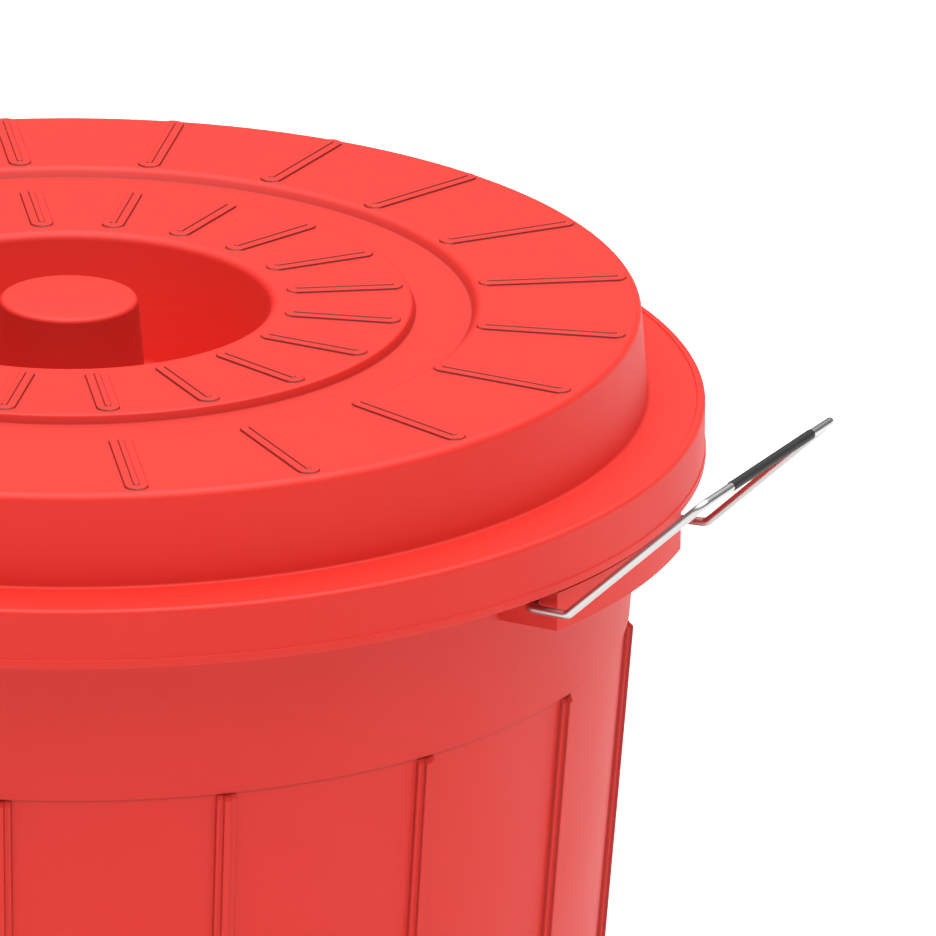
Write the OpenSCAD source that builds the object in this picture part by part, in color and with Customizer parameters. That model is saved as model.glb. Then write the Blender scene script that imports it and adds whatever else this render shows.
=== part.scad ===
// Large moulded plastic tub with a lift-off lid and two swinging wire bail handles.
// Millimetres, +Z up, at rest on the floor. The origin is the centre of the underside.
// The handles are on +X and -X.

/* [Whole bin] */
// Height from the floor to the lid's flat top
bin_h = 640; // [560:5:720]
// Thickness of the moulded walls
wall = 3; // [2.4:0.2:3]

/* [Tub] */
// Radius of the tub's wall at the floor
tub_base_r = 237.8; // [234:0.2:238]
// Lean of the tub's wall from the vertical, in degrees
tub_taper = 4.1; // [4:0.1:4.4]
// Height of the plain band below the lid's top
band_drop = 155; // [130:5:200]
// How far the plain band stands out from the wall below it
band_step = 1.2; // [0.6:0.2:2]
// Number of upright ribs round the tub
tub_ribs = 16; // [8:4:24]
// Width of an upright rib
tub_rib_w = 10.4; // [8:0.2:14]
// Width of the ridge down the middle of an upright rib
tub_ridge_w = 3.6; // [2:0.2:6]
// How far the ridge stands out from the wall
tub_ridge_h = 4; // [3:0.5:5]

/* [Lid] */
// Radius of the lid over its skirt
lid_r = 309.7; // [309.2:0.1:312]
// Depth of the skirt below the lid's top
skirt_drop = 74.8; // [70:0.2:75]
// Depth of the rim ledge below the lid's top
ledge_drop = 45; // [40:1:48]
// Radius of the bowl's edge
bowl_r = 98.4; // [96:0.2:104]
// Depth of the bowl round the knob
bowl_depth = 62; // [40:1:66]
// Radius of the knob at its top
knob_r = 33.4; // [28:0.1:38]
// Number of radial ribs in each ring on the lid
lid_ribs = 20; // [10:2:24]
// Width of a radial rib
lid_rib_w = 11; // [8:0.5:14]
// Width of the ridge along a radial rib
lid_ridge_w = 2.8; // [2:0.2:5]

/* [Handles] */
// Diameter of the bail's wire
wire_d = 4.4; // [3.6:0.2:4.6]
// Outside diameter of the grip sleeve
grip_d = 5; // [5:0.2:8]
// Length of the grip sleeve
grip_len = 84; // [60:1:100]
// Half the width of the bracket that holds a bail
bracket_half = 64.6; // [60:0.2:65]
// Radial clearance of the wire in the bracket's holes
pin_gap = 0.05; // [0.02:0.01:0.1]

/* [Hidden] */

smooth = 96;
overlap = 1;
wide = 400;

// Tub
rim_z = bin_h - ledge_drop - 5;
rim_t = 3.5;
rim_r = 301;
band_z = bin_h - band_drop;
foot_r = tub_base_r - 6;
foot_w = 14;
foot_h = 5;
floor_t = 4;
rib_foot_z = 46;
rib_slope = 2;
rib_over = 0.5;
tub_pad_h = 2.2;

// Lid, with heights below its top
arc_steps = 5;
knob_rise = 1.6;
knob_edge = 2.6;
knob_flare = 5.45;
bowl_floor_r = 84;
bowl_edge = 5;
inner_deck_r = 166.2;
channel_drop = 4.6;
channel_in_r = 167.9;
channel_out_r = 195.2;
outer_deck_in_r = 198.6;
deck_r = 277.2;
dome_r = 281;
ledge_fall = 1.6;
lip_in_r = 304.9;
lip_h = 0.8;
lip_edge = 2.6;
bead_h = 4.4;
bead_out = 0.6;
lid_pad_h = 1;
lid_ridge_h = 1.8;
ridge_inset = 4.2;
outer_rib = [200.5, 273];
inner_rib = [106.5, 163];

// Handles. A bail's points are [distance out from the axis, half width, height].
ball_d = wire_d + 0.1;
bracket_r = 308;
bracket_drop = 95.5;
bracket_t = 3.5;
bracket_end_t = 4;
bracket_neck_r = 297.4;
skirt_gap = 1.3;
pin_r = 289;
pin_z = bin_h - 83.5;
pin_in = 56;
elbow_half = 71.5;
knee = [310.7, 73, pin_z + 0.7];
hand = [379, 69, pin_z + 66.5];
grip_shift = 3.4;

function wall_r(z) = tub_base_r + z * tan(tub_taper);
function band_r(z) = wall_r(z) + band_step;
function dome_wall_r(drop) = deck_r + (dome_r - deck_r) * drop / ledge_drop;

// Points of the arc that rounds corner b of the path a, b, c
function round_corner(a, b, c, r) =
    let (u = (a - b) / norm(a - b),
         v = (c - b) / norm(c - b),
         half = acos(u * v) / 2,
         start = b + u * r / tan(half),
         end = b + v * r / tan(half),
         middle = b + (u + v) / norm(u + v) * r / sin(half))
    [for (i = [0 : arc_steps])
        let (d = start + (end - start) * i / arc_steps - middle)
        middle + d / norm(d) * r];

function xy(p) = [p[0], p[1]];

// A path of [x, y, corner radius] with its corners rounded
function rounded(path) =
    [for (i = [0 : len(path) - 1])
        each path[i][2] == 0
            ? [xy(path[i])]
            : round_corner(xy(path[i - 1]), xy(path[i]), xy(path[i + 1]), path[i][2])];

function unit(v) = v / norm(v);
function right_of(v) = [v[1], -v[0]];

// The same path moved t to its right, which is a shell's other face
function moved_right(path, t) =
    [for (i = [0 : len(path) - 1])
        let (before = right_of(unit(path[max(i, 1)] - path[max(i, 1) - 1])),
             last = len(path) - 1,
             after = right_of(unit(path[min(i, last - 1) + 1] - path[min(i, last - 1)])))
        path[i] + (before + after) * t / (1 + before * after)];

function reversed(list) = [for (i = [len(list) - 1 : -1 : 0]) list[i]];

module on_lid() {
    translate([0, 0, bin_h]) children();
}

// Tub

module tub_shell() {
    outside = rounded([
        [0, foot_h, 0],
        [foot_r - foot_w, foot_h, 0],
        [foot_r - foot_w + 2, 0, 0],
        [foot_r, 0, 0],
        [wall_r(6), 6, 0],
        [wall_r(band_z), band_z, 0],
        [band_r(band_z + 1), band_z + 1, 0],
        [band_r(rim_z), rim_z, 0],
        [band_r(rim_z) - wall, rim_z, 1],
        [wall_r(foot_h + floor_t) - wall, foot_h + floor_t, 8],
        [0, foot_h + floor_t, 0]]);
    rotate_extrude($fn = smooth) polygon(outside);
}

// An upright bar from above the foot to the band's lower edge, with sloped ends. It is
// h proud of the wall and starts inset above the rib's foot.
module tub_bar(w, h, inset) {
    z0 = rib_foot_z + inset;
    z1 = band_z + rib_over;
    depth = h + overlap;
    rotate([90, 0, 0])
        linear_extrude(w, center = true)
            polygon([
                [wall_r(z0) - overlap, z0],
                [wall_r(z0 + rib_slope * depth) + h, z0 + rib_slope * depth],
                [wall_r(z1) + h, z1],
                [wall_r(z1 + depth) - overlap, z1 + depth]]);
}

module tub() {
    color("red") {
        rotate([0, 0, 180 / tub_ribs]) tub_shell();
        for (i = [0 : tub_ribs - 1])
            rotate([0, 0, i * 360 / tub_ribs]) {
                tub_bar(tub_rib_w, tub_pad_h, 0);
                tub_bar(tub_ridge_w, tub_ridge_h, ridge_inset);
            }
    }
}

// The flat flange round the top of the tub, which the lid rests over
module tub_rim() {
    flange = rounded([
        [band_r(rim_z - rim_t), rim_z - rim_t, 0],
        [rim_r, rim_z - rim_t, 0.8],
        [rim_r, rim_z, 2],
        [band_r(rim_z), rim_z, 0]]);
    color("red")
        rotate([0, 0, 180 / tub_ribs])
            rotate_extrude($fn = smooth) polygon(flange);
}

// The section of a handle bracket: a box under the lid's skirt, with a neck up to the rim
module bracket_section(t, below) {
    top_z = bin_h - skirt_drop - skirt_gap;
    bottom_z = bin_h - bracket_drop;
    roof_z = rim_z - rim_t;
    inner = t == 0 ? 0 : 5;
    polygon([
        [band_r(bottom_z - below) - inner, bottom_z - below],
        [bracket_r - t, bottom_z - below],
        [bracket_r - t, top_z - t],
        [bracket_neck_r - t, top_z - t],
        [bracket_neck_r - t, roof_z - t],
        [band_r(roof_z - t) - inner, roof_z - t]]);
}

module bracket_block(t, below, half) {
    intersection() {
        rotate_extrude($fn = smooth) bracket_section(t, below);
        translate([0, -half, 0]) cube([wide, 2 * half, bin_h]);
    }
}

module bracket() {
    difference() {
        bracket_block(0, 0, bracket_half);
        bracket_block(bracket_t, overlap, bracket_half - bracket_end_t);
        translate([pin_r, 0, pin_z])
            rotate([90, 0, 0])
                cylinder(h = wide, r = wire_d / 2 + pin_gap, center = true, $fn = smooth);
    }
}

module bracket_right() {
    color("red") bracket();
}

module bracket_left() {
    color("red") mirror([1, 0, 0]) bracket();
}

// Lid

module lid_shell() {
    knob_base_r = knob_r + bowl_depth * tan(knob_flare);
    top = rounded([
        [0, knob_rise, 0],
        [knob_r, knob_rise - 0.6, knob_edge],
        [knob_base_r, -bowl_depth, 6],
        [bowl_floor_r, -bowl_depth, 6],
        [bowl_r, 0, bowl_edge],
        [inner_deck_r, 0, 2],
        [channel_in_r, -channel_drop, 1],
        [channel_out_r, -channel_drop, 1],
        [outer_deck_in_r, 0, 2],
        [deck_r, 0, 4],
        [dome_wall_r(ledge_drop + wall), -ledge_drop - wall, 0]]);
    rotate_extrude($fn = smooth)
        polygon(concat(top, reversed([for (p = moved_right(top, wall)) [max(p[0], 0), p[1]]])));
}

// The ledge round the foot of the dome, with a low lip round its outer edge
module lid_ledge() {
    outer_z = -ledge_drop - ledge_fall;
    section = rounded([
        [dome_r, -ledge_drop, 0],
        [lip_in_r, outer_z, 0],
        [lip_in_r, outer_z + lip_h, 0],
        [lid_r - bead_out, outer_z + lip_h, lip_edge],
        [lid_r - bead_out, outer_z - wall, 0],
        [dome_wall_r(ledge_drop + wall), -ledge_drop - wall, 0]]);
    color("tomato")
        on_lid() rotate_extrude($fn = smooth) polygon(section);
}

// The skirt that hangs from the ledge, with a bead round its lower edge
module lid_skirt() {
    skirt_r = lid_r - bead_out;
    top_z = -ledge_drop - ledge_fall - wall;
    bead_z = bead_h - skirt_drop;
    color("tomato")
        on_lid() rotate_extrude($fn = smooth)
            polygon([
                [skirt_r - wall, top_z],
                [skirt_r, top_z],
                [skirt_r, bead_z],
                [lid_r, bead_z],
                [lid_r, -skirt_drop],
                [skirt_r - wall, -skirt_drop]]);
}

// A raised bar along +X with round ends
module round_bar(from, to, w, h) {
    translate([from + w / 2, -w / 2, -overlap]) cube([to - from - w, w, h + overlap]);
    for (x = [from + w / 2, to - w / 2])
        translate([x, 0, -overlap]) cylinder(h = h + overlap, d = w, $fn = smooth);
}

module lid_rib(span) {
    round_bar(span[0], span[1], lid_rib_w, lid_pad_h);
    round_bar(span[0] + ridge_inset, span[1] - ridge_inset, lid_ridge_w, lid_ridge_h);
}

module lid() {
    color("tomato") {
        on_lid() rotate([0, 0, 180 / lid_ribs]) lid_shell();
        on_lid() for (i = [0 : lid_ribs - 1])
            rotate([0, 0, i * 360 / lid_ribs]) {
                lid_rib(outer_rib);
                lid_rib(inner_rib);
            }
    }
}

// Handles

// A round bar from p to q with a ball on its far end
module rod(p, q) {
    run = q - p;
    translate(p)
        rotate([0, acos(run[2] / norm(run)), atan2(run[1], run[0])])
            cylinder(h = norm(run), d = wire_d, $fn = smooth);
    translate(q) sphere(d = ball_d, $fn = smooth);
}

module bail() {
    hand_front = [hand[0], -hand[1], hand[2]];
    for (side = [-1, 1]) {
        elbow = [pin_r, side * elbow_half, pin_z];
        knee_here = [knee[0], side * knee[1], knee[2]];
        rod([pin_r, side * pin_in, pin_z], elbow);
        rod(elbow, knee_here);
        rod(knee_here, [hand[0], side * hand[1], hand[2]]);
    }
    rod(hand_front, hand);
}

module grip() {
    translate([hand[0], grip_shift, hand[2]])
        rotate([90, 0, 0])
            difference() {
                cylinder(h = grip_len, d = grip_d, center = true, $fn = smooth);
                cylinder(h = grip_len + overlap, d = wire_d, center = true, $fn = smooth);
            }
}

module bail_right() {
    color("lightgray") bail();
}

module bail_left() {
    color("lightgray") rotate([0, 0, 180]) bail();
}

module grip_right() {
    color("dimgray") grip();
}

module grip_left() {
    color("dimgray") rotate([0, 0, 180]) grip();
}

tub();
tub_rim();
bracket_right();
bracket_left();
lid();
lid_ledge();
lid_skirt();
bail_right();
bail_left();
grip_right();
grip_left();
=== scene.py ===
import math

import bmesh
import bpy
import numpy as np
from mathutils import Matrix, Vector


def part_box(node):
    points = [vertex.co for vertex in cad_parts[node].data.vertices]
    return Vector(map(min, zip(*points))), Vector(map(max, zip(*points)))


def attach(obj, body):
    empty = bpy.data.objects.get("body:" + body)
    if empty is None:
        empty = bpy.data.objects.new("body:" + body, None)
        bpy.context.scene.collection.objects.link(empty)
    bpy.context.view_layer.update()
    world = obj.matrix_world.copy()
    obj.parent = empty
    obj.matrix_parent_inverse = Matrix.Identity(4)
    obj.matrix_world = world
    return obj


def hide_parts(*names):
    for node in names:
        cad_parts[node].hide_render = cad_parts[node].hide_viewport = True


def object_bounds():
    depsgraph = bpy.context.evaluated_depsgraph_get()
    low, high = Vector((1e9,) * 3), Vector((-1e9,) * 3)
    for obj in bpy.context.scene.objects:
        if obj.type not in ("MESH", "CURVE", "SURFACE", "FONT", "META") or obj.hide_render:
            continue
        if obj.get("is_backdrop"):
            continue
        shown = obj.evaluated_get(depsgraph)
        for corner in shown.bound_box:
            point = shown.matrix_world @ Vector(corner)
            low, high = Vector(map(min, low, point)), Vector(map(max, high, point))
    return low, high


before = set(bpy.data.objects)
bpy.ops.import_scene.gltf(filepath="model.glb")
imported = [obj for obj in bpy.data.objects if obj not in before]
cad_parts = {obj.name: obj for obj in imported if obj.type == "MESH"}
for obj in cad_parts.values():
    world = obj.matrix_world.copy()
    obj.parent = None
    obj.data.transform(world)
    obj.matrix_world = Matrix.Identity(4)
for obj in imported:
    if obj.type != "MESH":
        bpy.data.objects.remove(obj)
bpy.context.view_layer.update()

mm = 0.001

# ---------------------------------------------------------------------------
# Camera. A long lens looks down on the lid from in front of the right handle.
# It stands about 7 m away, so the circles of the lid stay nearly true ellipses.
# ---------------------------------------------------------------------------
lid_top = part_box("lid")[1].z - 1.8 * mm      # the lid's flat deck, under its ridges
camera_azimuth = math.radians(-60.8)
camera_height = math.radians(19.31)
camera_distance = 7.183
camera_roll = math.radians(0.6)
aim = Vector((0.17206, 0.08979, lid_top - 0.08498))

camera_data = bpy.data.cameras.new("camera")
camera_data.lens = 570.47
camera_data.sensor_width = 36
camera_data.clip_end = 100
camera = bpy.data.objects.new("camera", camera_data)
bpy.context.scene.collection.objects.link(camera)
camera.location = Vector((0, 0, lid_top)) + camera_distance * Vector((
    math.cos(camera_height) * math.cos(camera_azimuth),
    math.cos(camera_height) * math.sin(camera_azimuth),
    math.sin(camera_height)))
camera.rotation_mode = "QUATERNION"
look = (aim - camera.location).to_track_quat("-Z", "Y")
camera.rotation_quaternion = look @ Matrix.Rotation(camera_roll, 3, "Z").to_quaternion()
bpy.context.scene.camera = camera

# ---------------------------------------------------------------------------
# Studio. A wide matt pale floor under a plain white surround that is brightest
# overhead, like a tent of white cloth lit from above.
# ---------------------------------------------------------------------------
floor_half = 60.0
floor_tone = 0.8
tent_low = 0.15
tent_high = 6.2
tent_gather = 4.0


def shaped(name, verts, faces):
    """A new piece with the given points and faces."""
    mesh = bpy.data.meshes.new(name)
    mesh.from_pydata(verts, [], faces)
    piece = bpy.data.objects.new(name, mesh)
    bpy.context.scene.collection.objects.link(piece)
    return piece


studio_floor = shaped(
    "studio_floor",
    [(-floor_half, -floor_half, 0), (floor_half, -floor_half, 0),
     (floor_half, floor_half, 0), (-floor_half, floor_half, 0)], [(0, 1, 2, 3)])
floor_paint = bpy.data.materials.new("floor_paint")
floor_paint.use_nodes = True
floor_shader = floor_paint.node_tree.nodes["Principled BSDF"]
floor_shader.inputs["Base Color"].default_value = (floor_tone, floor_tone, floor_tone, 1)
floor_shader.inputs["Roughness"].default_value = 0.95
floor_shader.inputs["Specular IOR Level"].default_value = 0.0
studio_floor.data.materials.append(floor_paint)
studio_floor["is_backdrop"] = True

tent = bpy.data.worlds.new("tent")
tent.use_nodes = True
tent_nodes, tent_links = tent.node_tree.nodes, tent.node_tree.links
direction = tent_nodes.new("ShaderNodeTexCoord")
height = tent_nodes.new("ShaderNodeSeparateXYZ")
tent_links.new(direction.outputs["Generated"], height.inputs["Vector"])
above = tent_nodes.new("ShaderNodeMath")
above.operation = "MAXIMUM"
above.inputs[1].default_value = 0.0
tent_links.new(height.outputs["Z"], above.inputs[0])
gather = tent_nodes.new("ShaderNodeMath")
gather.operation = "POWER"
gather.inputs[1].default_value = tent_gather
tent_links.new(above.outputs["Value"], gather.inputs[0])
glow = tent_nodes.new("ShaderNodeMapRange")
glow.inputs["To Min"].default_value = tent_low
glow.inputs["To Max"].default_value = tent_high
tent_links.new(gather.outputs["Value"], glow.inputs["Value"])
tent_links.new(glow.outputs["Result"], tent_nodes["Background"].inputs["Strength"])
tent_nodes["Background"].inputs["Color"].default_value = (1, 1, 1, 1)
bpy.context.scene.world = tent

bpy.context.scene.view_settings.view_transform = "Standard"

# ---------------------------------------------------------------------------
# Tub. One injection moulding in red polypropylene: tapered wall, plain band
# under the rim, sixteen upright ribs, flat rim flange and a foot ring.
# ---------------------------------------------------------------------------
tub_base_r = 237.8
tub_lean = math.tan(math.radians(4.1))
band_step = 1.2
wall = 3.0
deck_z = lid_top / mm
rim_z = deck_z - 50
rim_r = 301
rim_t = 3.5
band_z = deck_z - 155
step_rise = 0.4
foot_r = tub_base_r - 6
foot_w = 14
foot_h = 5
foot_lean = 1.5
wall_foot_z = 6
floor_top = 9
tub_rib_count = 16
tub_rib_half = 5.2
tub_ridge_half = 1.7
tub_pad_h = 2.2
tub_ridge_h = 4.0
tub_rib_foot = 46.0
red_pigment = (0.60, 0.014, 0.006)
# Painted shade: how dark the painted shade makes the red, and how strongly a painted shadow is laid
# under the band's step.
painted_shade_tone = 0.15
step_painted_shadow = 0.6
gloss_low = 0.52
gloss_high = 0.62
plastic_ior = 1.42


def tub_wall_r(z):
    """Radius of the tub's outer wall, in millimetres, at height z."""
    return tub_base_r + z * tub_lean


def band_r(z):
    """Radius of the outside of the plain band, at height z."""
    return tub_wall_r(z) + band_step


def rounded(path, step=12):
    """A path of (x, y, corner radius) with each corner turned into an arc of short steps."""
    points = []
    for i, (x, y, r) in enumerate(path):
        here = np.array((x, y), float)
        if not r:
            points.append(here)
            continue
        back = np.array(path[i - 1][:2], float) - here
        on = np.array(path[i + 1][:2], float) - here
        back /= np.linalg.norm(back)
        on /= np.linalg.norm(on)
        half = math.acos(np.clip(back @ on, -1, 1)) / 2
        middle = here + (back + on) / np.linalg.norm(back + on) * r / math.sin(half)
        first = here + back * r / math.tan(half) - middle
        last = here + on * r / math.tan(half) - middle
        turn = math.pi - 2 * half
        count = max(2, math.ceil(math.degrees(turn) / step))
        for k in range(count + 1):
            a = k / count
            points.append(middle + (first * math.sin((1 - a) * turn)
                                    + last * math.sin(a * turn)) / math.sin(turn))
    return points


def split_rows(points, places, axis):
    """Adds a point wherever the path crosses one of the places along an axis."""
    rows = [points[0]]
    for a, b in zip(points, points[1:]):
        low, high = sorted((a[axis], b[axis]))
        cuts = [p for p in places if low + 0.02 < p < high - 0.02]
        cuts.sort(reverse=b[axis] < a[axis])
        for p in cuts:
            rows.append(a + (b - a) * (p - a[axis]) / (b[axis] - a[axis]))
        rows.append(b)
    return rows


def bar_columns(count, offsets, between, narrow_r):
    """Columns of a turned surface with count bars round it. Near a bar a column runs
    parallel to the bar at a fixed offset, and between the bars the columns are spread
    evenly. Gives a function of radius that returns each column's angle, and each
    column's nearest bar."""
    offsets = np.array(sorted({-o for o in offsets} | set(offsets)), float)
    pitch = 2 * math.pi / count

    def angles(r):
        lean = np.arcsin(offsets / max(r, narrow_r))
        gap = np.linspace(lean[-1], pitch + lean[0], between + 2)[1:-1]
        one = np.concatenate([lean, gap])
        return np.concatenate([one + k * pitch for k in range(count)])

    per_bar = len(offsets) + between
    columns = np.arange(per_bar * count)
    nearest = (columns // per_bar + (columns % per_bar >= len(offsets) + between / 2)) % count
    return angles, nearest * pitch


def turned_mesh(name, rows, columns, raise_point):
    """A closed turned mesh. rows is a loop of (r, z, shown side) from axis to axis, and
    raise_point(r, z, along, across, side) gives how far each point moves outwards and up,
    and how much painted shade darkens it, standing in for the shade on rib edges and in recesses."""
    angle_at, bar_angle = columns
    verts, painted_shades, faces, previous = [], [], [], None
    for r, z, side in rows:
        if r < 1e-6:
            ring = [len(verts)]
            verts.append((0, 0, z * mm))
            painted_shades.append(0)
        else:
            angle = angle_at(r)
            away = angle - bar_angle
            out, up, painted_shade = raise_point(r, z, r * np.cos(away), r * np.sin(away), side)
            painted_shades.extend(painted_shade)
            ring = range(len(verts), len(verts) + len(angle))
            points = np.stack([(r + out) * np.cos(angle), (r + out) * np.sin(angle),
                               np.full(len(angle), z) + up], 1) * mm
            verts.extend(map(tuple, points))
        if previous is not None:
            if len(previous) == 1:
                faces += [(previous[0], ring[j], ring[(j + 1) % len(ring)])
                          for j in range(len(ring))]
            elif len(ring) == 1:
                faces += [(previous[j], ring[0], previous[(j + 1) % len(previous)])
                          for j in range(len(previous))]
            else:
                n = len(ring)
                faces += [(previous[j], ring[j], ring[(j + 1) % n], previous[(j + 1) % n])
                          for j in range(n)]
        previous = ring
    piece = shaped(name, verts, faces)
    piece.data.shade_smooth()
    # Each point's painted shade, which darkens the plastic's colour where shade falls.
    piece.data.attributes.new("painted_shade", "FLOAT", "POINT").data.foreach_set("value", painted_shades)
    return piece


def soft_step(distance, edge):
    """1 inside an outline and 0 outside it, with a smooth edge of that width."""
    t = np.clip(0.5 - distance / edge, 0, 1)
    return t * t * (3 - 2 * t)


def on_edge(distance, edge):
    """1 on an outline, fading to 0 at half that width to either side of it."""
    return np.clip(1 - np.abs(2 * distance / edge), 0, 1)


def red_plastic(name, colour, skin_depth):
    """Moulded polypropylene: a faint cloudiness of pigment, painted shade that darkens it on
    rib edges and in recesses, a fine moulded skin, and rubbed patches that shine a little more."""
    material = bpy.data.materials.new(name)
    material.use_nodes = True
    nodes, links = material.node_tree.nodes, material.node_tree.links
    shader = nodes["Principled BSDF"]
    place = nodes.new("ShaderNodeTexCoord")
    cloud = nodes.new("ShaderNodeTexNoise")
    cloud.inputs["Scale"].default_value = 5.0
    cloud.inputs["Detail"].default_value = 3.0
    links.new(place.outputs["Object"], cloud.inputs["Vector"])
    tint = nodes.new("ShaderNodeValToRGB")
    tint.color_ramp.elements[0].position = 0.35
    tint.color_ramp.elements[1].position = 0.65
    tint.color_ramp.elements[0].color = (colour[0] * 0.97, colour[1] * 0.95, colour[2] * 0.95, 1)
    tint.color_ramp.elements[1].color = (*colour, 1)
    links.new(cloud.outputs["Fac"], tint.inputs["Fac"])
    # Painted shade: the colour is mixed towards a deep red by each point's painted-shade attribute,
    # standing in for the shade on rib edges and in recesses.
    painted_shade = nodes.new("ShaderNodeAttribute")
    painted_shade.attribute_name = "painted_shade"
    painted_shade_mix = nodes.new("ShaderNodeMix")
    painted_shade_mix.data_type = "RGBA"
    painted_shade_mix.inputs["B"].default_value = (*[c * painted_shade_tone for c in colour], 1)
    links.new(painted_shade.outputs["Fac"], painted_shade_mix.inputs["Factor"])
    links.new(tint.outputs["Color"], painted_shade_mix.inputs["A"])
    links.new(painted_shade_mix.outputs["Result"], shader.inputs["Base Color"])
    skin = nodes.new("ShaderNodeTexNoise")
    skin.inputs["Scale"].default_value = 900.0
    skin.inputs["Detail"].default_value = 2.0
    links.new(place.outputs["Object"], skin.inputs["Vector"])
    bump = nodes.new("ShaderNodeBump")
    bump.inputs["Strength"].default_value = 0.25
    bump.inputs["Distance"].default_value = skin_depth
    links.new(skin.outputs["Fac"], bump.inputs["Height"])
    links.new(bump.outputs["Normal"], shader.inputs["Normal"])
    rub = nodes.new("ShaderNodeTexNoise")
    rub.inputs["Scale"].default_value = 18.0
    rub.inputs["Detail"].default_value = 6.0
    links.new(place.outputs["Object"], rub.inputs["Vector"])
    gloss = nodes.new("ShaderNodeMapRange")
    gloss.inputs["To Min"].default_value = gloss_low
    gloss.inputs["To Max"].default_value = gloss_high
    links.new(rub.outputs["Fac"], gloss.inputs["Value"])
    links.new(gloss.outputs["Result"], shader.inputs["Roughness"])
    shader.inputs["IOR"].default_value = plastic_ior
    return material


tub_plastic = red_plastic("tub_plastic", red_pigment, 80e-6)

# The outline runs from under the base, out round the foot ring, up the wall, over the
# rim and down inside. Each corner is (radius, height, corner radius).
tub_path = rounded([
    (0, foot_h, 0), (foot_r - foot_w, foot_h, 2), (foot_r - foot_w + foot_lean, 0, 1), (foot_r, 0, 2),
    (tub_wall_r(wall_foot_z), wall_foot_z, 4),
    (tub_wall_r(band_z), band_z, 0.3), (band_r(band_z), band_z + step_rise, 0.4),
    (band_r(rim_z - rim_t), rim_z - rim_t, 2), (rim_r, rim_z - rim_t, 0.8),
    (rim_r, rim_z, 2),
    (band_r(rim_z) - wall, rim_z, 2),
    (tub_wall_r(floor_top) - wall, floor_top, 8), (0, floor_top, 0)])
# Rows of points close together at both ends of the ribs and sparse between them, with one
# more just above the step, and columns close together at the edges of pad and ridge.
rib_rows = ([tub_rib_foot + k * 0.8 for k in range(12)]
            + [band_z - 3.2 + k * 0.32 for k in range(11)]
            + [k * 40.0 for k in range(2, 12)] + [band_z + 1.2])
tub_rows = [(p[0], p[1], 1) for p in split_rows(tub_path, rib_rows, 1)]
tub_columns = bar_columns(
    tub_rib_count,
    [0, 0.8, 1.2, 1.4, 1.55, 1.7, 1.85, 2.0, 2.3, 3.6, 4.5, 4.75, 4.9, 5.0, 5.1, 5.3, 5.6, 6.6],
    9, 200)


def tub_ribs(r, z, along, across, side):
    """Upright ribs on the outside of the tub: a broad pad with a narrow ridge on it."""
    flat = np.zeros_like(across)
    # Painted shadow: a dark band painted on the wall just under the band's step.
    under_step_shadow = flat + step_painted_shadow * on_edge(z - band_z - 0.1, 1.8) * (r > tub_wall_r(z) - 1)
    if abs(r - tub_wall_r(z)) > 0.6 or not tub_rib_foot < z < band_z + 0.1:
        return flat, flat, under_step_shadow
    over = np.abs(across)
    top = np.clip((band_z - z) / 2.4, 0, 1) ** 0.5
    foot = np.clip((z - tub_rib_foot) / 8, 0, 1)
    foot = foot * foot * (3 - 2 * foot)
    pad = tub_pad_h * soft_step(over - tub_rib_half + 0.3, 0.6)
    ridge = (tub_ridge_h - tub_pad_h) * soft_step(over - tub_ridge_half, 0.6)
    # Painted shade: dark lines along the edges of pad and ridge.
    painted_shade = 0.5 * np.maximum(on_edge(over - tub_rib_half + 0.2, 0.7),
                             on_edge(over - tub_ridge_half, 0.7))
    return (pad + ridge) * min(top, foot), flat, np.maximum(painted_shade * foot, under_step_shadow)


tub = turned_mesh("tub_moulding", tub_rows, tub_columns, tub_ribs)
tub.data.materials.append(tub_plastic)
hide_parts("tub", "tub_rim")
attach(tub, "tub")

# ---------------------------------------------------------------------------
# Handle brackets. A hollow box under the rim on each side, moulded with the tub
# and open below, with a round hole in each end wall for the end of the wire.
# ---------------------------------------------------------------------------
bracket_r = 308.0
bracket_half = 64.6
bracket_neck_r = 297.4
bracket_low_z = deck_z - 95.5
bracket_top_z = deck_z - 76.1
bracket_roof_z = rim_z - rim_t - 0.02
bracket_t = 3.5
bracket_end_t = 4.0
bracket_edge = 0.7
root_sunk = 0.6
hollow_gap = 0.4
past_end = 5.0
pin_r = 289.0
pin_z = deck_z - 83.5
pin_hole_r = 2.5


def shaped_outwards(name, verts, faces):
    """A new closed piece with all its faces turned outwards."""
    piece = shaped(name, verts, faces)
    shape = bmesh.new()
    shape.from_mesh(piece.data)
    bmesh.ops.recalc_face_normals(shape, faces=shape.faces)
    shape.to_mesh(piece.data)
    shape.free()
    return piece


def curved_block(name, section, half, columns=25):
    """A block of the given (radius, z) section between two parallel end faces."""
    verts, faces = [], []
    count = len(section)
    for i in range(columns):
        y = -half + 2 * half * i / (columns - 1)
        verts += [(math.sqrt(r * r - y * y) * mm, y * mm, z * mm) for r, z in section]
        if i:
            first = (i - 1) * count
            faces += [(first + k, first + (k + 1) % count,
                       first + count + (k + 1) % count, first + count + k)
                      for k in range(count)]
    faces.append(tuple(range(count))[::-1])
    faces.append(tuple(range(len(verts) - count, len(verts))))
    return shaped_outwards(name, verts, faces)


def settle(piece):
    """Turns what a piece's modifiers show into its own mesh."""
    graph = bpy.context.evaluated_depsgraph_get()
    piece.data = bpy.data.meshes.new_from_object(piece.evaluated_get(graph))
    piece.modifiers.clear()


def cut_away(piece, cutter):
    """Cuts one block out of another and throws the cutter away."""
    cut = piece.modifiers.new("cut", "BOOLEAN")
    cut.operation = "DIFFERENCE"
    cut.solver = "EXACT"
    cut.object = cutter
    settle(piece)
    bpy.data.objects.remove(cutter)


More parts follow.
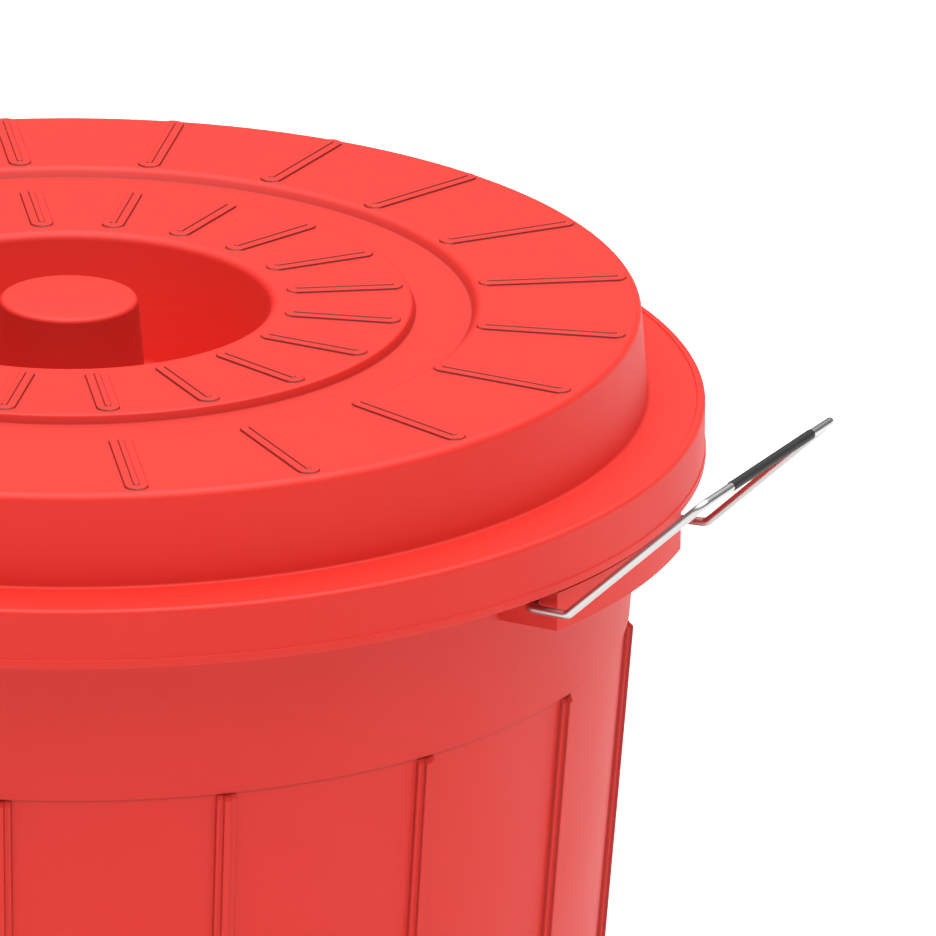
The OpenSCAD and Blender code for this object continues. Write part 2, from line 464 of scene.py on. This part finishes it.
def hole_cutter(x, z, r, half, sides=32):
    """A round rod along Y that drills a hole."""
    turn = [2 * math.pi * k / sides for k in range(sides)]
    verts = [((x + r * math.cos(a)) * mm, y * mm, (z + r * math.sin(a)) * mm)
             for y in (-half, half) for a in turn]
    faces = [(k, (k + 1) % sides, sides + (k + 1) % sides, sides + k) for k in range(sides)]
    faces += [tuple(range(sides)), tuple(range(sides, 2 * sides))]
    return shaped_outwards("drill", verts, faces)


for side, turn in (("right", 0), ("left", math.pi)):
    bracket = curved_block("bracket_box_" + side, [
        (band_r(bracket_low_z) - root_sunk, bracket_low_z), (bracket_r, bracket_low_z),
        (bracket_r, bracket_top_z), (bracket_neck_r, bracket_top_z),
        (bracket_neck_r, bracket_roof_z), (band_r(bracket_roof_z) - root_sunk, bracket_roof_z)],
        bracket_half)
    hollow = [
        (band_r(bracket_low_z) + hollow_gap, bracket_low_z - past_end),
        (bracket_r - bracket_t, bracket_low_z - past_end),
        (bracket_r - bracket_t, bracket_top_z - bracket_t),
        (bracket_neck_r - bracket_t, bracket_top_z - bracket_t),
        (bracket_neck_r - bracket_t, bracket_roof_z - bracket_t),
        (band_r(bracket_roof_z) + hollow_gap, bracket_roof_z - bracket_t)]
    cut_away(bracket, curved_block("hollow", hollow, bracket_half - bracket_end_t))
    cut_away(bracket, hole_cutter(pin_r, pin_z, pin_hole_r, bracket_half + past_end))
    edge = bracket.modifiers.new("edge", "BEVEL")
    edge.width = bracket_edge * mm
    edge.segments = 3
    edge.limit_method = "ANGLE"
    edge.angle_limit = math.radians(40)
    settle(bracket)
    bracket.data.transform(Matrix.Rotation(turn, 4, "Z"))
    bracket.data.shade_smooth()
    bracket.data.set_sharp_from_angle(angle=math.radians(50))
    even = bracket.modifiers.new("even", "WEIGHTED_NORMAL")
    even.keep_sharp = True
    settle(bracket)
    bracket.data.materials.append(tub_plastic)
    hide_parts("bracket_" + side)
    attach(bracket, "tub")

# ---------------------------------------------------------------------------
# Lid. A separate moulding of the same plastic: skirt with a bead, rim ledge with
# a raised lip, domed wall, two ribbed decks, a channel, a bowl and a hollow knob.
# ---------------------------------------------------------------------------
lid_rib_count = 20
lid_rib_half = 5.5
lid_ridge_half = 1.4
lid_pad_h = 1.1
lid_ridge_h = 0.7
lid_ridge_inset = 4.2
lid_rings = ((200.5, 273.0), (106.5, 163.0))
knob_rise = 1.1
knob_dome = 0.6
knob_r = 33.4
knob_base_r = 39.3
bowl_depth = 62
bowl_floor_r = 84.0
bowl_r = 98.4
inner_deck_r = 166.2
channel_drop = 4.6
channel_in_r = 167.9
channel_out_r = 195.2
outer_deck_in_r = 198.6
deck_r = 277.2
dome_r = 281.0
ledge_drop = 45
lip_r = 304.6
skirt_r = 309.0
skirt_drop = 74.8
bead_h = 4.2
bead_out = 0.6
# Painted shade on the channel's walls and on the knob's side in the bowl.
channel_painted_shade = 0.45
knob_painted_shade = 0.3

lid_plastic = red_plastic("lid_plastic", red_pigment, 80e-6)

# The outline runs from the knob's middle down into the bowl, out over the decks, down the
# dome, over the ledge and the skirt, and back inside. Each corner is (radius, height from
# the deck, corner radius).
lid_path = rounded([
    (0, knob_rise + knob_dome, 0), (knob_r, knob_rise, 2.6), (knob_base_r, -bowl_depth, 4),
    (bowl_floor_r, -bowl_depth, 6), (bowl_r, 0, 5),
    (inner_deck_r, 0, 1.6), (channel_in_r, -channel_drop, 0.6),
    (channel_out_r, -channel_drop, 0.6), (outer_deck_in_r, 0, 5.0),
    (deck_r, 0, 4), (dome_r, -ledge_drop, 1.6),
    (lip_r, -ledge_drop - 1.6, 0.2), (lip_r + 0.4, -ledge_drop - 0.9, 0.4),
    (skirt_r, -ledge_drop - 0.8, 2.4),
    (skirt_r, 0.2 + bead_h - skirt_drop, 0.2), (skirt_r + bead_out, bead_h - skirt_drop, 0.3),
    (skirt_r + bead_out, -skirt_drop, 0.6), (skirt_r - 1.8, -skirt_drop, 0.6),
    (skirt_r - wall, -ledge_drop - 4.8, 2), (dome_r - 0.5, -ledge_drop - 3.2, 3),
    (deck_r - wall, -wall, 2), (outer_deck_in_r + 1.4, -wall, 2),
    (channel_out_r + 0.8, -channel_drop - wall, 2), (channel_in_r - 0.9, -channel_drop - wall, 2),
    (inner_deck_r - 2.7, -wall, 2), (bowl_r + 2.8, -wall, 4),
    (bowl_floor_r + 2.5, -bowl_depth - wall, 8), (knob_base_r - 2.7, -bowl_depth - wall, 6),
    (knob_r - 2.9, -2, 2), (0, -1.5, 0)])
# Rows of points close together at both ends of each rib and at the channel's edges.
end_rows = [channel_in_r + 0.9, channel_out_r - 0.9]
for low, high in lid_rings:
    end_rows += [low - 0.4 + k * 0.3 for k in range(28)]
    end_rows += [high + 0.4 - k * 0.3 for k in range(28)]
    end_rows += list(np.linspace(low + 10, high - 10, 5))
outer_count = next(i for i, p in enumerate(lid_path)
                   if p[0] < skirt_r and p[1] < 0.8 - skirt_drop)
lid_top_rows = split_rows(lid_path[:outer_count], end_rows, 0)
lid_rows = ([(p[0], p[1] + deck_z, 1) for p in lid_top_rows]
            + [(p[0], p[1] + deck_z, 0) for p in lid_path[outer_count:]])
# Columns of points close together at the edges of a rib's pad and ridge, and near enough
# between them to round its ends.
lid_columns = bar_columns(
    lid_rib_count,
    [0, 0.35, 0.7, 1.0, 1.2, 1.35, 1.45, 1.6, 1.9, 2.3, 2.7, 3.1, 3.5, 3.9, 4.25, 4.6, 4.9,
     5.15, 5.33, 5.45, 5.55, 5.7, 5.9, 6.5], 6, 96)


def lid_ribs(r, z, along, across, side):
    """Radial ribs on both decks: round-ended pads, each with a narrow round-ended ridge."""
    rise = np.zeros_like(across)
    painted_shade = np.zeros_like(across)
    if side:
        for low, high in lid_rings:
            if not low - 1 < r < high + 1:
                continue
            middle, reach = (low + high) / 2, (high - low) / 2
            past = np.maximum(np.abs(along - middle) - (reach - lid_rib_half), 0)
            edge = np.hypot(past, across) - lid_rib_half
            rise += lid_pad_h * soft_step(edge, 0.5)
            # Painted shade: dark lines along the edges of pad and ridge.
            painted_shade = np.maximum(painted_shade, on_edge(edge, 0.9))
            reach -= lid_ridge_inset
            past = np.maximum(np.abs(along - middle) - (reach - lid_ridge_half), 0)
            edge = np.hypot(past, across) - lid_ridge_half
            rise += lid_ridge_h * soft_step(edge, 0.5)
            painted_shade = np.maximum(painted_shade, on_edge(edge, 0.9))
        drop = deck_z - z
        # Painted shade on the channel's walls, darker further down, and on the knob's side and the
        # foot of the bowl.
        if -1.8 < r - channel_in_r < 0.5 or -0.5 < r - channel_out_r < 3.6:
            painted_shade = painted_shade + channel_painted_shade * np.clip(drop / channel_drop, 0, 1)
        if r < bowl_floor_r and 1 < drop < bowl_depth - 1:
            painted_shade = painted_shade + knob_painted_shade
    return np.zeros_like(across), rise, painted_shade


lid = turned_mesh("lid_moulding", lid_rows, lid_columns, lid_ribs)
lid.data.materials.append(lid_plastic)
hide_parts("lid", "lid_ledge", "lid_skirt")
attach(lid, "lid")

# ---------------------------------------------------------------------------
# Bail handles. Each is one length of bright drawn steel wire, bent to a hoop,
# with its two ends sprung into the holes of the bracket.
# ---------------------------------------------------------------------------
wire_r = 2.2
wire_end = (pin_r, 56.0, pin_z)
wire_elbow = (pin_r, 71.5, pin_z)
wire_knee = (310.7, 73.0, pin_z + 0.7)
wire_hand = (379.0, 69.0, pin_z + 66.5)
wire_points = [wire_end, wire_elbow, wire_knee, wire_hand]
wire_bends = (3.6, 5.5, 5.0)


def bent_line(points, bends):
    """The centre line of a bent wire: straight runs joined by arcs of the given radii."""
    line = [Vector(points[0])]
    for a, b, c, r in zip(points, points[1:], points[2:], bends):
        a, b, c = Vector(a), Vector(b), Vector(c)
        back, on = (a - b).normalized(), (c - b).normalized()
        half = back.angle(on) / 2
        middle = b + (back + on).normalized() * r / math.sin(half)
        first = b + back * r / math.tan(half) - middle
        last = b + on * r / math.tan(half) - middle
        turn = math.pi - 2 * half
        for k in range(9):
            s = k / 8
            line.append(middle + (first * math.sin((1 - s) * turn)
                                  + last * math.sin(s * turn)) / math.sin(turn))
    line.append(Vector(points[-1]))
    return line


def round_bar(name, line, radii, sides=28):
    """A round bar along a line, with a radius at each of its points and closed ends."""
    verts, faces = [], []
    side = (line[1] - line[0]).orthogonal().normalized()
    for i, (point, radius) in enumerate(zip(line, radii)):
        before, after = line[max(i - 1, 0)], line[min(i + 1, len(line) - 1)]
        ahead = (after - before).normalized()
        side = (side - ahead * side.dot(ahead)).normalized()
        up = ahead.cross(side)
        for k in range(sides):
            a = 2 * math.pi * k / sides
            verts.append((point + (side * math.cos(a) + up * math.sin(a)) * radius) * mm)
        if i:
            first = (i - 1) * sides
            faces += [(first + k, first + (k + 1) % sides,
                       first + sides + (k + 1) % sides, first + sides + k)
                      for k in range(sides)]
    faces.append(tuple(range(sides))[::-1])
    faces.append(tuple(range(len(verts) - sides, len(verts))))
    piece = shaped(name, verts, faces)
    piece.data.shade_smooth()
    return piece


def steel_wire():
    """Bright drawn wire: fine draw lines and faint dulling where hands and time touch it."""
    material = bpy.data.materials.new("bail_wire")
    material.use_nodes = True
    nodes, links = material.node_tree.nodes, material.node_tree.links
    shader = nodes["Principled BSDF"]
    shader.inputs["Metallic"].default_value = 1.0
    place = nodes.new("ShaderNodeTexCoord")
    dull = nodes.new("ShaderNodeTexNoise")
    dull.inputs["Scale"].default_value = 60.0
    dull.inputs["Detail"].default_value = 4.0
    links.new(place.outputs["Object"], dull.inputs["Vector"])
    tint = nodes.new("ShaderNodeValToRGB")
    tint.color_ramp.elements[0].color = (0.46, 0.457, 0.453, 1)
    tint.color_ramp.elements[1].color = (0.53, 0.527, 0.523, 1)
    links.new(dull.outputs["Fac"], tint.inputs["Fac"])
    links.new(tint.outputs["Color"], shader.inputs["Base Color"])
    rough = nodes.new("ShaderNodeMapRange")
    rough.inputs["To Min"].default_value = 0.26
    rough.inputs["To Max"].default_value = 0.34
    links.new(dull.outputs["Fac"], rough.inputs["Value"])
    links.new(rough.outputs["Result"], shader.inputs["Roughness"])
    return material


bail_wire = steel_wire()
mirrored = [(s, -t, z) for s, t, z in reversed(wire_points)]
bail_line = bent_line(wire_points + mirrored, wire_bends + tuple(reversed(wire_bends)))
for side, turn in (("right", 0), ("left", math.pi)):
    half_turn = Matrix.Rotation(turn, 3, "Z")
    line = [half_turn @ p for p in bail_line]
    bail = round_bar("bail_wire_" + side, line, [wire_r] * len(line))
    bail.data.materials.append(bail_wire)
    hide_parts("bail_" + side)
    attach(bail, "bail_" + side)

# ---------------------------------------------------------------------------
# Grips. A black plastic sleeve shrunk on the middle of each wire, so that the
# load does not cut into the hand. Its cut ends are slightly rounded.
# ---------------------------------------------------------------------------
grip_r = 2.5
grip_half = 42.0
grip_shift = 3.4
grip_edge = 0.12


def black_sleeve():
    """Satin black polyolefin with fine length-wise drag lines and a soft sheen."""
    material = bpy.data.materials.new("grip_sleeve")
    material.use_nodes = True
    nodes, links = material.node_tree.nodes, material.node_tree.links
    shader = nodes["Principled BSDF"]
    place = nodes.new("ShaderNodeTexCoord")
    grain = nodes.new("ShaderNodeTexNoise")
    grain.inputs["Scale"].default_value = 1500.0
    links.new(place.outputs["Object"], grain.inputs["Vector"])
    tint = nodes.new("ShaderNodeValToRGB")
    tint.color_ramp.elements[0].color = (0.010, 0.010, 0.010, 1)
    tint.color_ramp.elements[1].color = (0.017, 0.017, 0.0175, 1)
    links.new(grain.outputs["Fac"], tint.inputs["Fac"])
    links.new(tint.outputs["Color"], shader.inputs["Base Color"])
    bump = nodes.new("ShaderNodeBump")
    bump.inputs["Strength"].default_value = 0.3
    bump.inputs["Distance"].default_value = 0.00005
    links.new(grain.outputs["Fac"], bump.inputs["Height"])
    links.new(bump.outputs["Normal"], shader.inputs["Normal"])
    shader.inputs["Roughness"].default_value = 0.55
    shader.inputs["Specular IOR Level"].default_value = 0.3
    return material


grip_sleeve = black_sleeve()
for side, turn in (("right", 0), ("left", math.pi)):
    half_turn = Matrix.Rotation(turn, 3, "Z")
    one_end = [(grip_half - 2, grip_r), (grip_half - grip_edge, grip_r),
               (grip_half, grip_r - grip_edge), (grip_half, wire_r + 0.02)]
    ends = [(-t, r) for t, r in reversed(one_end)] + one_end
    # each ring stands a hair further on than the last, so that none share a place
    line = [half_turn @ Vector((wire_hand[0], grip_shift + t + 0.001 * i, wire_hand[2]))
            for i, (t, r) in enumerate(ends)]
    grip = round_bar("sleeve_" + side, line, [r for t, r in ends])
    grip.data.materials.append(grip_sleeve)
    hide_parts("grip_" + side)
    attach(grip, "bail_" + side)

low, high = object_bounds()
